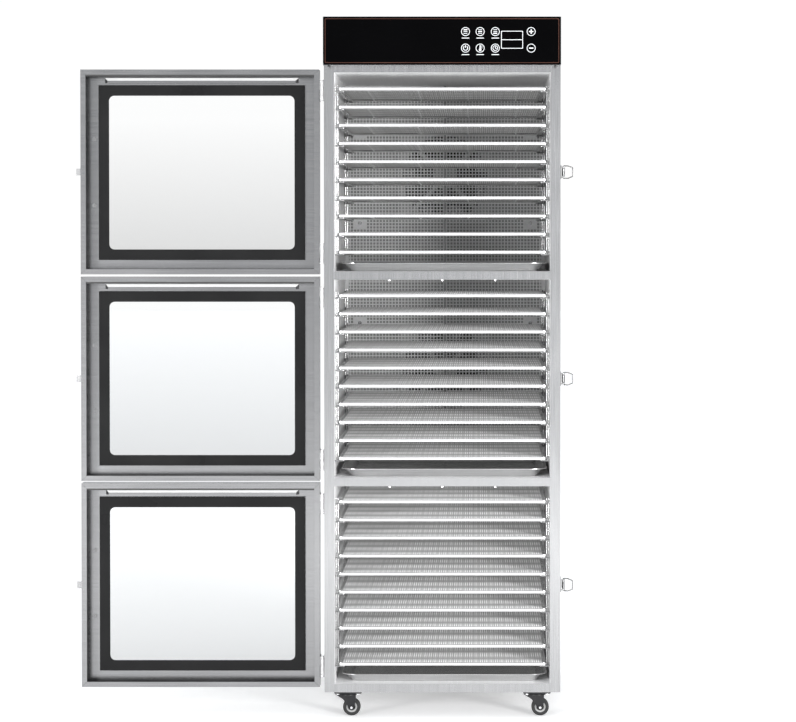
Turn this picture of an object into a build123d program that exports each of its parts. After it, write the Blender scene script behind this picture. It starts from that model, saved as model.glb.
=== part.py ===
"""Three-zone cabinet food dehydrator on casters: thirty mesh trays, three glazed doors hinged on the left.

Millimetres. X runs to the right of the cabinet, +Y to its back, +Z up. The origin is on the floor under the
middle of the cabinet. The doors are modelled fully open, the trays fully home and the latches unhooked.
"""

import math
import os

from build123d import *

# ---------------------------------------------------------------- driving dimensions
cabinet_width = 456.0
sheet = 1.2                  # outer skin and panels
liner_sheet = 1.0
floor_gap = 0.3              # running gap between parts that move on each other

chamber_names = ["lower", "middle", "upper"]
stile_width = 19.5           # front frame at each side of the chambers
rail_height = 16.0           # between chambers, and under the lowest one
top_rail_height = 17.0

housing_height = 88.0
housing_overhang = 33.0      # how far the control box stands out in front of the cabinet
housing_skirt = 5.0          # how far its front part hangs down over the cabinet's top rail
housing_skirt_gap = 1.0
panel_glass_thickness = 4.0
panel_glass_margin = 0.5
board_width = 150.0
board_height = 70.0
board_thickness = 1.6
board_edge_distance = 41.0   # cabinet side to the display board
board_post_radius = 2.5
board_post_inset = 4.0
board_stand_off = 8.0
board_window_margin = 8.0
power_board = ((-90.0, 60.0), (20.0, 160.0))
power_board_post_inset = 6.0
transformer = ((-70.0, -20.0), (50.0, 100.0), 40.0)
display_width = 44.0
display_height = 36.0
display_edge_distance = 71.5 # cabinet side to the display's near edge

door_overlap = 2.0           # door beyond the cabinet's side, at each side
door_rail_overlap = 5.75     # door beyond the chamber's opening, above and below
door_thickness = 32.2
door_face_gap = 0.8          # closed door to the cabinet's front
door_rim = 10.0              # folded rim round the inner side
door_glass_thickness = 4.0
door_glass_top = 28.5        # top of the door to the top of its glass
door_glass_bottom = 27.5
door_glass_hinge_side = 29.0
door_glass_free_side = 31.0
glass_border = 20.5          # printed band round the clear window
window_corner = 10.0
window_seat = 3.0            # how far the skin's opening stands outside the clear window, under the band
louvre_end_inset = 12.5      # end of the glass to the end of the louvre
louvre_height = 9.8
louvre_depth = 7.0
louvre_chamfer = 5.5
louvre_gap = 4.2             # bottom of the louvre to the top of the glass

hinge_gap = 9.0              # cabinet side to the edge of the open door
hinge_axis_set_forward = 0.5
hinge_height = 40.0
hinge_from_door_end = 20.0
knuckle_radius = 3.8
hinge_pin_radius = 2.0
pin_fit = 0.05               # radial running clearance
leaf_thickness = 1.5
leaf_reach = 28.0
leaf_set_back = 4.6          # leaf edge to the hinge axis beside the other leaf's knuckle

handle_centres = 128.0
handle_edge_distance = 22.0
handle_bar_radius = 6.0
handle_post_radius = 5.0
handle_reach = 36.0          # door skin to the middle of the bar
handle_overrun = 16.0
screw_head_radius = 4.0
screw_head_height = 1.8

keeper_height = 13.0
keeper_reach = 9.0
keeper_plate = 1.5
keeper_lip = 3.5
keeper_hook_sheet = 2.0
keeper_set_back = 2.5        # door's inner face to the keeper
keeper_length = 22.0

latch_plate_height = 26.0
latch_plate_length = 34.0
latch_plate_thickness = 1.5
latch_pivot_height = 6.0     # side wall to the lever's pivot
latch_pivot_set_back = 6.0   # cabinet front to the lever's pivot
latch_arm = 5.0              # lever pivot to bail pivot
latch_ear_radius = 3.0
latch_ear_thickness = 1.5
latch_ear_spread = 9.0       # middle to the inner face of an ear
latch_pin_radius = 1.5
lever_length = 26.0
lever_width = 16.0
lever_sheet = 1.2
bail_wire_radius = 1.0
bail_length = 18.5
bail_half_width = 12.0
bail_tip_half_width = 8.5
bail_straight = 9.0
bail_rest_angle = -20.0      # from +X, seen from above, with the bail swung out

trays_per_chamber = 10
tray_side_gap = 8.5          # chamber wall to the tray
tray_depth = 380.0
tray_height = 6.0
tray_sheet = 0.8
tray_flange = 12.0           # flange under the tray's edge
tray_pitch = 35.0
lowest_tray = 34.0           # chamber floor to the underside of the lowest tray
highest_tray_gap = 28.0      # top of the highest tray to the chamber roof
tray_set_back = 9.0

drip_side_gap = 8.5
drip_centre_x = 3.0
drip_depth_margin = 14.0     # how much shorter than a tray
drip_height = 16.0
drip_slope = 15.0            # how far each side leans out from bottom to top
drip_sheet = 1.0
drip_rim = 5.0
drip_corner = 34.0
drip_set_back = 14.0

rack_wire_radius = 1.5
rack_outer_inset = 1.8       # chamber wall to the middle of the outer posts
rack_inner_inset = 6.0
rack_front = 21.0            # cabinet front to the front posts
rack_rear_inset = 13.0       # rear posts to the back of the trays
rack_below_trays = 3.0
rack_top_gap = 25.0
runner_reach = 19.0          # chamber wall to the runner's long leg
runner_bend = 4.0
weld_gap = 0.1

guard_behind_trays = 26.0    # back of the trays to the mesh guard
guard_sheet = 1.0
guard_edge_gap = 0.3
guard_clip_size = 26.0
guard_clip_thickness = 1.5
guard_clip_inset = 30.5      # chamber wall to the middle of a clip
guard_clip_share = 0.248     # clip height from the chamber's middle, as a share of the chamber's height
guard_bolt_radius = 2.5
fan_frame_size = 191.0
fan_bore_radius = 89.0
fan_frame_depth = 38.0
guard_to_fan = 8.0
fan_hub_radius = 24.0
fan_stator_depth = 12.0
fan_arm_width = 7.0
fan_arm_thickness = 3.0
fan_arms = 4
fan_shaft_radius = 3.0
fan_blades = 7
fan_tip_gap = 2.5
fan_blade_chord = 26.0
fan_blade_thickness = 1.5
fan_blade_pitch = 32.0
fan_rotor_depth = 18.0
baffle_bar_width = 8.0
heater_ring_radius = 104.0
heater_tube_radius = 4.0
heater_stand_off = 16.0
plenum_depth = 58.0          # baffle to the back of the cabinet

vent_slot_width = 120.0
vent_slot_height = 5.0
vent_slot_pitch = 12.0
vent_slots = 9

inlet_width = 30.0
inlet_height = 24.0
inlet_depth = 26.0
inlet_flange = 6.0
inlet_flange_thickness = 2.0
inlet_wall = 2.0
inlet_edge_distance = 78.0   # cabinet side to the middle of the inlet
inlet_pin_radius = 1.6
inlet_pin_set_back = 8.0
inlet_pins = [(-8, -2), (8, -2), (0, 5)]

caster_side_inset = 45.0     # cabinet side to each swivel
caster_end_inset = 28.0      # cabinet front and back to each swivel
caster_plate_size = 53.0
caster_plate_thickness = 3.0
plate_nut_radius = 3.2
plate_nut_height = 2.6
plate_nut_inset = 7.0
caster_head_height = 15.0    # top of the wheel to the underside of the cabinet
wheel_radius = 17.0
wheel_width = 15.0
wheel_trail = 6.6
wheel_rim_radius = 11.0
wheel_rim_dish = 1.5
wheel_side_gap = 1.0
fork_sheet = 2.5
fork_top_radius = 17.0
plate_race = 3.2             # bearing ring between the plate and the fork, tall enough to clear the nuts
plate_race_radius = 13.0
fork_heel = 26.0             # swivel to the back corner of a leg
fork_toe = 14.0
fork_waist = 10.0
fork_foot = 6.0
kingpin_radius = 4.0
axle_radius = 3.0
axle_head_radius = 3.6
axle_head_height = 1.5

trim_screw_radius = 2.5
trim_screw_height = 2.4
rail_screw_share = 0.2446    # side screws from the middle, as a share of the chamber's width
rail_screw_set_back = 5.0
lip_screw_inset = 11.0       # cabinet side to the screws under the control box
lip_screw_set_forward = 20.0
cover_screw_radius = 3.5
cover_screw_height = 1.2
cover_screw_inset = 9.5

# ---------------------------------------------------------------- places worked out from them
chamber_width = cabinet_width - 2 * stile_width
chamber_height = lowest_tray + (trays_per_chamber - 1) * tray_pitch + tray_height + highest_tray_gap
guard_set_back = tray_set_back + tray_depth + guard_behind_trays
cabinet_depth = guard_set_back + guard_sheet + guard_to_fan + fan_frame_depth + plenum_depth
half_width = cabinet_width / 2
front = -cabinet_depth / 2
back = cabinet_depth / 2
cabinet_bottom = 2 * wheel_radius + caster_head_height
chamber_pitch = chamber_height + rail_height
chamber_floors = [cabinet_bottom + rail_height + i * chamber_pitch for i in range(len(chamber_names))]
chamber_middles = [z + chamber_height / 2 for z in chamber_floors]
cabinet_top = chamber_floors[-1] + chamber_height + top_rail_height
housing_top = cabinet_top + housing_height
housing_front = front - housing_overhang + panel_glass_thickness
guard_y = front + guard_set_back
fan_front = guard_y + guard_sheet + guard_to_fan
baffle_y = fan_front + fan_frame_depth
tray_width = chamber_width - 2 * tray_side_gap
drip_width = chamber_width - 2 * drip_side_gap
drip_depth = tray_depth - drip_depth_margin
rack_rear = tray_set_back + tray_depth - rack_rear_inset
rack_bottom = lowest_tray - rack_below_trays
guard_clip_x = chamber_width / 2 - guard_clip_inset
guard_clip_z = chamber_height * guard_clip_share
board_centre_x = half_width - board_edge_distance - board_width / 2
display_centre_x = half_width - display_edge_distance - display_width / 2
inlet_centre_x = -half_width + inlet_edge_distance
caster_x = half_width - caster_side_inset
caster_y = cabinet_depth / 2 - caster_end_inset
rail_screw_x = chamber_width * rail_screw_share
lip_screw_x = half_width - lip_screw_inset
door_width = cabinet_width + 2 * door_overlap
door_height = chamber_height + 2 * door_rail_overlap
door_glass_width = door_width - door_glass_hinge_side - door_glass_free_side
door_glass_height = door_height - door_glass_top - door_glass_bottom
louvre_length = door_glass_width - 2 * louvre_end_inset
hinge_x = -half_width - hinge_gap / 2
hinge_y = front - hinge_axis_set_forward
door_edge = hinge_x - hinge_gap / 2
door_free_edge = door_edge - door_width
door_inner = 2 * hinge_y - (front - door_face_gap)
door_outer = door_inner + door_thickness
glass_middle_x = door_edge - door_glass_hinge_side - door_glass_width / 2
latch_pivot = (half_width + latch_pivot_height, front + latch_pivot_set_back)


def block(x, y, z):
    """A box from three (low, high) pairs."""
    centre = ((x[0] + x[1]) / 2, (y[0] + y[1]) / 2, (z[0] + z[1]) / 2)
    return Pos(*centre) * Box(x[1] - x[0], y[1] - y[0], z[1] - z[0])


def rod_y(radius, x, y, z):
    return Pos(x, (y[0] + y[1]) / 2, z) * Rot(90, 0, 0) * Cylinder(radius, y[1] - y[0])


def rod_z(radius, x, y, z):
    return Pos(x, y, (z[0] + z[1]) / 2) * Cylinder(radius, z[1] - z[0])


def rounded_slab(width, height, radius, y, centre):
    """A slab with rounded corners that faces the front, from y[0] to y[1]."""
    outline = Plane.XZ * RectangleRounded(width, height, radius)
    return Pos(centre[0], y[1], centre[1]) * extrude(outline, y[1] - y[0])


def wire(points, bends, radius):
    """A round wire along straight runs with rounded bends."""
    path = FilletPolyline(*points, radius=bends)
    return sweep(Plane(path @ 0, z_dir=path % 0) * Circle(radius), path=path)


def keep(shapes, node):
    """One node's solids, written as one STEP file."""
    solids = [s for shape in shapes for s in shape.solids()]
    group = Compound(label=node, children=solids) if len(solids) > 1 else solids[0]
    export_step(group, f"parts/{node}.step")


# ---------------------------------------------------------------- cabinet
def cabinet_shell():
    inside = half_width - sheet
    shell = block((-half_width, half_width), (front, back - sheet), (cabinet_bottom, cabinet_top))
    shell -= block((-inside, inside), (front + sheet, back), (cabinet_bottom + sheet, cabinet_top - sheet))
    for z in chamber_floors:
        mouth = chamber_width / 2
        shell -= block((-mouth, mouth), (front - sheet, front + 2 * sheet), (z, z + chamber_height))
    return shell


def chamber_liner(floor):
    wall = chamber_width / 2
    outer = wall + liner_sheet
    liner = block(
        (-outer, outer), (front + sheet, baffle_y), (floor - liner_sheet, floor + chamber_height + liner_sheet)
    )
    return liner - block((-wall, wall), (front, back), (floor, floor + chamber_height))


def rear_cover():
    cover = block((-half_width, half_width), (back - sheet, back), (cabinet_bottom, cabinet_top))
    slot = vent_slot_width / 2
    for middle in chamber_middles:
        for i in range(vent_slots):
            z = middle + (i - (vent_slots - 1) / 2) * vent_slot_pitch
            low, high = z - vent_slot_height / 2, z + vent_slot_height / 2
            cover -= block((-slot, slot), (back - 2 * sheet, back + sheet), (low, high))
    return cover


def trim_screws():
    screws = []
    for floor in chamber_floors[:-1]:
        roof = floor + chamber_height
        for x in (-rail_screw_x, 0, rail_screw_x):
            y = front + rail_screw_set_back
            screws.append(rod_z(trim_screw_radius, x, y, (roof - trim_screw_height, roof)))
    for x in (-lip_screw_x, lip_screw_x):
        y = front - lip_screw_set_forward
        lip = cabinet_top - housing_skirt
        screws.append(rod_z(trim_screw_radius, x, y, (lip - trim_screw_height, lip)))
    rows = [cabinet_bottom + cover_screw_inset, *chamber_middles, cabinet_top - cover_screw_inset]
    for z in rows:
        for x in (-half_width + cover_screw_inset, half_width - cover_screw_inset):
            screws.append(rod_y(cover_screw_radius, x, (back, back + cover_screw_height), z))
    return screws


# ---------------------------------------------------------------- air: guard, fan, baffle, heater
def back_guard(middle):
    """Mesh guard, its centre wire, four clips and the four bolts that carry it on the baffle."""
    half_x = chamber_width / 2 - guard_edge_gap
    half_z = chamber_height / 2 - guard_edge_gap
    guard = block((-half_x, half_x), (guard_y, guard_y + guard_sheet), (middle - half_z, middle + half_z))
    rib_y = guard_y - rack_wire_radius - weld_gap
    pieces = [guard, rod_z(rack_wire_radius, 0, rib_y, (middle - half_z, middle + half_z))]
    reach = guard_clip_size / 2
    for x in (-guard_clip_x, guard_clip_x):
        for z in (middle - guard_clip_z, middle + guard_clip_z):
            clip_y = (guard_y - guard_clip_thickness, guard_y)
            pieces.append(block((x - reach, x + reach), clip_y, (z - reach, z + reach)))
            pieces.append(rod_y(guard_bolt_radius, x, (guard_y + guard_sheet, baffle_y), z))
    return pieces


def fan_frame(middle):
    """Square fan frame with the motor's stator on a spider across its front."""
    half = fan_frame_size / 2
    frame = block((-half, half), (fan_front, baffle_y), (middle - half, middle + half))
    frame -= rod_y(fan_bore_radius, 0, (fan_front - 1, baffle_y + 1), middle)
    stator_y = (fan_front, fan_front + fan_stator_depth)
    spider = rod_y(fan_hub_radius, 0, stator_y, middle)
    arm_y = fan_front + fan_arm_thickness / 2
    for i in range(fan_arms):
        arm = Pos(fan_bore_radius / 2 + 2, 0, 0) * Box(fan_bore_radius + 4, fan_arm_thickness, fan_arm_width)
        spider += Pos(0, arm_y, middle) * Rot(0, 45 + i * 360 / fan_arms, 0) * arm
    spider -= rod_y(fan_shaft_radius + pin_fit, 0, (fan_front + fan_arm_thickness, baffle_y), middle)
    return frame + spider


def fan_impeller(middle):
    """Rotor hub, shaft and pitched blades, turning about Y."""
    start = fan_front + fan_stator_depth + floor_gap
    rotor = rod_y(fan_hub_radius, 0, (start, start + fan_rotor_depth), middle)
    shaft_tip = fan_front + fan_arm_thickness + floor_gap
    rotor += rod_y(fan_shaft_radius, 0, (shaft_tip, start + 1), middle)
    root = fan_hub_radius - 4
    length = fan_bore_radius - fan_tip_gap - root
    blade_y = start + fan_rotor_depth / 2
    for i in range(fan_blades):
        blade = Box(length, fan_blade_thickness, fan_blade_chord)
        blade = Pos(root + length / 2, 0, 0) * Rot(fan_blade_pitch, 0, 0) * blade
        rotor += Pos(0, blade_y, middle) * Rot(0, i * 360 / fan_blades, 0) * blade
    return rotor


def baffle_panel(middle):
    """Panel behind the fan with four openings between the bars of a cross."""
    half_x = chamber_width / 2 + liner_sheet
    half_z = chamber_height / 2 + liner_sheet
    panel = block((-half_x, half_x), (baffle_y, baffle_y + sheet), (middle - half_z, middle + half_z))
    opening = rod_y(fan_bore_radius, 0, (baffle_y - 1, baffle_y + sheet + 1), middle)
    bar, reach = baffle_bar_width / 2, fan_bore_radius + 1
    depth = (baffle_y - 1, baffle_y + sheet + 1)
    opening -= block((-bar, bar), depth, (middle - reach, middle + reach))
    opening -= block((-reach, reach), depth, (middle - bar, middle + bar))
    return panel - opening


def heating_element(middle):
    """Ring heater round the fan's opening, standing off the baffle on its two terminals."""
    plate = baffle_y + sheet
    ring = Rot(90, 0, 0) * Torus(heater_ring_radius, heater_tube_radius)
    ring = Pos(0, plate + heater_stand_off, middle) * ring
    for side in (-1, 1):
        x = side * heater_ring_radius
        ring += rod_y(heater_tube_radius, x, (plate, plate + heater_stand_off), middle)
    return ring


# ---------------------------------------------------------------- racks and trays
def tray_bottom(floor, number):
    """Underside of tray 1 (top) to 10 (bottom)."""
    return floor + lowest_tray + (trays_per_chamber - number) * tray_pitch


def side_rack(floor, side):
    """Four posts and ten U-shaped runners at one side of a chamber."""
    wall = chamber_width / 2
    front_y, rear_y = front + rack_front, front + rack_rear
    span = (floor + rack_bottom, floor + chamber_height - rack_top_gap)
    pieces = []
    for inset in (rack_outer_inset, rack_inner_inset):
        for y in (front_y, rear_y):
            pieces.append(rod_z(rack_wire_radius, side * (wall - inset), y, span))
    step = 2 * rack_wire_radius + weld_gap
    outer = side * (wall - rack_wire_radius)
    inner = side * (wall - runner_reach)
    for number in range(1, trays_per_chamber + 1):
        z = tray_bottom(floor, number) - floor_gap - rack_wire_radius
        corners = [(outer, front_y - step, z), (inner, front_y - step, z)]
        corners += [(inner, rear_y + step, z), (outer, rear_y + step, z)]
        pieces.append(wire(corners, runner_bend, rack_wire_radius))
    return pieces


def tray(floor, number):
    """Tray with its mesh at the top and a flange turned in under the edge."""
    low = tray_bottom(floor, number)
    half = tray_width / 2
    y = (front + tray_set_back, front + tray_set_back + tray_depth)
    body = block((-half, half), y, (low, low + tray_height))
    inner = half - tray_sheet
    inner_y = (y[0] + tray_sheet, y[1] - tray_sheet)
    body -= block((-inner, inner), inner_y, (low + tray_sheet, low + tray_height - tray_sheet))
    mouth = half - tray_flange
    mouth_y = (y[0] + tray_flange, y[1] - tray_flange)
    return body - block((-mouth, mouth), mouth_y, (low - 1, low + 2 * tray_sheet))


def drip_tray(floor):
    """Pan with leaning sides, large corner radii and a flat rim."""
    middle_y = front + drip_set_back + drip_depth / 2
    low = floor + floor_gap
    lean = math.degrees(math.atan2(drip_slope, drip_height))
    base = (drip_width - 2 * (drip_slope + drip_rim), drip_depth - 2 * (drip_slope + drip_rim))
    corner = drip_corner - drip_slope
    pan = extrude(RectangleRounded(*base, corner), drip_height, taper=-lean)
    inside = (base[0] - drip_sheet, base[1] - drip_sheet)
    cavity = extrude(RectangleRounded(*inside, corner), drip_height, taper=-lean)
    pan -= Pos(0, 0, drip_sheet) * cavity
    rim = extrude(RectangleRounded(drip_width, drip_depth, drip_corner), drip_sheet)
    opening = (drip_width - 2 * drip_rim - drip_sheet, drip_depth - 2 * drip_rim - drip_sheet)
    rim -= extrude(RectangleRounded(*opening, drip_corner - drip_rim), drip_sheet)
    pan += Pos(0, 0, drip_height - drip_sheet) * rim
    return Pos(drip_centre_x, middle_y, low) * pan


# ---------------------------------------------------------------- control box
def control_housing():
    """Folded box on the cabinet's roof, with a part in front that hangs over the top rail."""
    inside = half_width - sheet
    lip = cabinet_top - housing_skirt
    skirt_back = front - housing_skirt_gap
    box = block((-half_width, half_width), (housing_front, back), (cabinet_top, housing_top))
    box += block((-half_width, half_width), (housing_front, skirt_back), (lip, housing_top))
    roof = housing_top - sheet
    box -= block((-inside, inside), (housing_front + sheet, back - sheet), (cabinet_top + sheet, roof))
    hollow_y = (housing_front + sheet, skirt_back - sheet)
    box -= block((-inside, inside), hollow_y, (lip + sheet, roof))
    middle = (cabinet_top + housing_top) / 2
    half_x, half_z = board_width / 2 - board_window_margin, board_height / 2 - board_window_margin
    window_x = (board_centre_x - half_x, board_centre_x + half_x)
    box -= block(window_x, (housing_front - 1, housing_front + 2 * sheet), (middle - half_z, middle + half_z))
    half_x, half_z = inlet_width / 2, inlet_height / 2
    inlet_x = (inlet_centre_x - half_x, inlet_centre_x + half_x)
    return box - block(inlet_x, (back - 2 * sheet, back + 1), (middle - half_z, middle + half_z))


def control_glass():
    reach = half_width - panel_glass_margin
    z = (cabinet_top - housing_skirt + panel_glass_margin, housing_top - panel_glass_margin)
    return block((-reach, reach), (housing_front - panel_glass_thickness, housing_front), z)


def control_boards():
    """Display board behind the glass, and the power board on the housing's floor."""
    middle = (cabinet_top + housing_top) / 2
    wall = housing_front + sheet
    x = (board_centre_x - board_width / 2, board_centre_x + board_width / 2)
    z = (middle - board_height / 2, middle + board_height / 2)
    board_y = (wall + board_stand_off, wall + board_stand_off + board_thickness)
    board = block(x, board_y, z)
    half = display_width / 2
    display_x = (display_centre_x - half, display_centre_x + half)
    display_z = (middle - display_height / 2, middle + display_height / 2)
    board += block(display_x, (housing_front, board_y[0]), display_z)
    for post_x in (x[0] + board_post_inset, x[1] - board_post_inset):
        for post_z in (z[0] + board_post_inset, z[1] - board_post_inset):
            board += rod_y(board_post_radius, post_x, (wall, board_y[0]), post_z)
    floor = cabinet_top + sheet
    raised = floor + board_stand_off
    power = block(*power_board, (raised, raised + board_thickness))
    power += block(*transformer[:2], (raised, raised + transformer[2]))
    for post_x in (power_board[0][0] + power_board_post_inset, power_board[0][1] - power_board_post_inset):
        for post_y in (power_board[1][0] + power_board_post_inset, power_board[1][1] - power_board_post_inset):
            power += rod_z(board_post_radius, post_x, post_y, (floor, raised))
    return [board, power]


def mains_inlet():
    """Appliance inlet in the back of the control box: flanged body, open socket and three pins."""
    middle = (cabinet_top + housing_top) / 2
    half_x, half_z = inlet_width / 2, inlet_height / 2
    x = (inlet_centre_x - half_x, inlet_centre_x + half_x)
    z = (middle - half_z, middle + half_z)
    body = block(x, (back - inlet_depth, back), z)
    flange_x = (x[0] - inlet_flange, x[1] + inlet_flange)
    flange_z = (z[0] - inlet_flange, z[1] + inlet_flange)
    body += block(flange_x, (back, back + inlet_flange_thickness), flange_z)
    socket_x = (x[0] + inlet_wall, x[1] - inlet_wall)
    socket_z = (z[0] + inlet_wall, z[1] - inlet_wall)
    floor_y = back - inlet_depth + inlet_wall
    body -= block(socket_x, (floor_y, back + inlet_flange_thickness), socket_z)
    for dx, dz in inlet_pins:
        pin_y = (floor_y - 1, back - inlet_pin_set_back)
        body += rod_y(inlet_pin_radius, inlet_centre_x + dx, pin_y, middle + dz)
    return body


# ---------------------------------------------------------------- doors
def door_louvre(roof, skin):
    """Pressed hood over the air slot above the glass, open along its lower edge."""
    half = louvre_length / 2
    x = (glass_middle_x - half, glass_middle_x + half)
    z = (roof - door_glass_top + louvre_gap, roof - door_glass_top + louvre_gap + louvre_height)
    hood = block(x, (skin - louvre_depth, skin), z)
    outer = hood.edges().group_by(Axis.Y)[0]
    ends = outer.filter_by(Axis.Z) + outer.filter_by(Axis.X).sort_by(Axis.Z)[-1:]
    hood = chamfer(ends, louvre_chamfer)
    hollow_x = (x[0] + louvre_chamfer + sheet, x[1] - louvre_chamfer - sheet)
    hollow_y = (skin - louvre_depth + sheet, skin + 1)
    return hood - block(hollow_x, hollow_y, (z[0] - 1, z[1] - louvre_chamfer - sheet))


def door_panel(middle):
    """Folded steel pan with a turned-in rim, a window opening and the pressed louvre."""
    z = (middle - door_height / 2, middle + door_height / 2)
    x = (door_free_edge, door_edge)
    skin = door_outer - sheet
    pan = block(x, (door_inner, door_outer), z)
    pan -= block((x[0] + sheet, x[1] - sheet), (door_inner + sheet, skin), (z[0] + sheet, z[1] - sheet))
    mouth_x = (x[0] + door_rim, x[1] - door_rim)
    pan -= block(mouth_x, (door_inner - 1, door_inner + 2 * sheet), (z[0] + door_rim, z[1] - door_rim))
    hidden_border = glass_border - window_seat
    cut = (door_glass_width - 2 * hidden_border, door_glass_height - 2 * hidden_border)
    centre = (glass_middle_x, z[1] - door_glass_top - door_glass_height / 2)
    pan -= rounded_slab(*cut, window_corner + window_seat, (skin - 1, door_outer + 1), centre)
    return pan + door_louvre(z[1], skin)


def door_glass(middle):
    roof = middle + door_height / 2
    half = door_glass_width / 2
    skin = door_outer - sheet
    z = (roof - door_glass_top - door_glass_height, roof - door_glass_top)
    return block((glass_middle_x - half, glass_middle_x + half), (skin - door_glass_thickness, skin), z)


def hinge_heights(middle):
    """Low and high end of each hinge of one door."""
    low = middle - door_height / 2 + hinge_from_door_end
    high = middle + door_height / 2 - hinge_from_door_end
    return [(low, low + hinge_height), (high - hinge_height, high)]


def hinge_leaf(ends, upper, toward):
    """Leaf against the door edge or cabinet side (toward -1 or +1), with a knuckle over half its height."""
    split = (ends[0] + ends[1]) / 2
    mine = (split + floor_gap / 2, ends[1]) if upper else (ends[0], split - floor_gap / 2)
    face = hinge_x + toward * hinge_gap / 2
    x = sorted((face, face - toward * leaf_thickness))
    leaf = block(x, (hinge_y + leaf_set_back, hinge_y + leaf_reach), ends)
    leaf += block(x, (hinge_y, hinge_y + leaf_set_back + 1), mine)
    leaf += rod_z(knuckle_radius, hinge_x, hinge_y, mine)
    bore = hinge_pin_radius + (pin_fit if upper else 0)
    return leaf - rod_z(bore, hinge_x, hinge_y, ends)


def cabinet_hinges():
    pieces = []
    for middle in chamber_middles:
        for ends in hinge_heights(middle):
            pieces.append(hinge_leaf(ends, False, 1))
            pieces.append(rod_z(hinge_pin_radius, hinge_x, hinge_y, ends))
    return pieces


def door_handle(middle):
    """Bar handle on two posts outside the free edge, with its two screws inside."""
    x = door_free_edge + handle_edge_distance
    bar_y = door_outer + handle_reach
    reach = handle_centres / 2 + handle_overrun
    handle = rod_z(handle_bar_radius, x, bar_y, (middle - reach, middle + reach))
    handle = chamfer(handle.edges(), 1.5)
    pieces = []
    skin = door_outer - sheet
    for z in (middle - handle_centres / 2, middle + handle_centres / 2):
        handle += rod_y(handle_post_radius, x, (door_outer, bar_y), z)
        pieces.append(rod_y(screw_head_radius, x, (skin - screw_head_height, skin), z))
    return [handle, *pieces]


def door_keeper(middle):
    """Hooked strike on the free edge that the latch's bail pulls against."""
    z = (middle - keeper_height / 2, middle + keeper_height / 2)
    edge = door_free_edge
    hook_y = door_inner + keeper_set_back
    keeper = block((edge - keeper_plate, edge), (hook_y, hook_y + keeper_length), z)
    keeper += block((edge - keeper_reach, edge), (hook_y, hook_y + keeper_hook_sheet), z)
    lip_x = (edge - keeper_reach, edge - keeper_reach + keeper_plate)
    return keeper + block(lip_x, (hook_y, hook_y + keeper_hook_sheet + keeper_lip), z)


def door_hardware(middle):
    leaves = [hinge_leaf(ends, True, -1) for ends in hinge_heights(middle)]
    return [*door_handle(middle), door_keeper(middle), *leaves]


# ---------------------------------------------------------------- draw latches
def latch_base(middle):
    """Plate on the cabinet's side with two ears and the lever's pin."""
    x, y = latch_pivot
    plate_x = (half_width, half_width + latch_plate_thickness)
    plate_z = (middle - latch_plate_height / 2, middle + latch_plate_height / 2)
    base = block(plate_x, (front + 1, front + 1 + latch_plate_length), plate_z)
    pieces = []
    for side in (-1, 1):
        z = sorted((middle + side * latch_ear_spread, middle + side * (latch_ear_spread + latch_ear_thickness)))
        base += rod_z(latch_ear_radius, x, y, z)
        base += block((half_width, x), (y - latch_ear_radius, y + latch_ear_radius), z)
    ends = latch_ear_spread + latch_ear_thickness
    base -= rod_z(latch_pin_radius, x, y, (middle - ends - 1, middle + ends + 1))
    pieces.append(rod_z(latch_pin_radius, x, y, (middle - ends, middle + ends)))
    return [base, *pieces]


def latch_lever(middle):
    """Folded channel that turns on the base's pin and carries the bail."""
    x, y = latch_pivot
    half = lever_width / 2
    tall = 2 * latch_ear_radius - 1
    start, stop = y - latch_ear_radius, y + lever_length
    lever = block((x - tall / 2, x + tall / 2), (start, stop), (middle - half, middle + half))
    inner = half - lever_sheet
    hollow_x, hollow_y = (x - tall, x + tall / 2 - lever_sheet), (start - 1, stop - lever_sheet)
    lever -= block(hollow_x, hollow_y, (middle - inner, middle + inner))
    lever = fillet(lever.edges().filter_by(Axis.X).sort_by(Axis.Y)[-2:], 4.0)
    lever -= rod_z(latch_pin_radius + pin_fit, x, y, (middle - half - 1, middle + half + 1))
    return lever - rod_z(bail_wire_radius + pin_fit, x, y + latch_arm, (middle - half - 1, middle + half + 1))


def latch_bail(middle):
    """Wire loop whose ends turn into the lever's sides."""
    x, y = latch_pivot
    y += latch_arm
    turn = math.radians(bail_rest_angle)

    def at(reach, z):
        return (x + reach * math.cos(turn), y + reach * math.sin(turn), middle + z)

    inside = lever_width / 2 - lever_sheet - 1
    side = [at(0, bail_half_width), at(bail_straight, bail_half_width), at(bail_length, bail_tip_half_width)]
    mirrored = [(px, py, 2 * middle - pz) for px, py, pz in reversed(side)]
    points = [at(0, inside), *side, *mirrored, at(0, -inside)]
    return wire(points, 1.6, bail_wire_radius)


# ---------------------------------------------------------------- casters
def caster_plate(x, y):
    """Top plate under the cabinet with its four nuts, the race and the kingpin that the fork turns on."""
    half = caster_plate_size / 2
    z = (cabinet_bottom - caster_plate_thickness, cabinet_bottom)
    plate = block((x - half, x + half), (y - half, y + half), z)
    plate = fillet(plate.edges().filter_by(Axis.Z), 5.0)
    reach = half - plate_nut_inset
    for nut_x in (x - reach, x + reach):
        for nut_y in (y - reach, y + reach):
            nut = extrude(RegularPolygon(plate_nut_radius, 6), plate_nut_height)
            plate += Pos(nut_x, nut_y, z[0] - plate_nut_height) * nut
    plate += rod_z(plate_race_radius, x, y, (z[0] - plate_race, z[0]))
    return plate + rod_z(kingpin_radius, x, y, (z[0] - plate_race - fork_sheet - 2 * floor_gap, z[0]))


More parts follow.
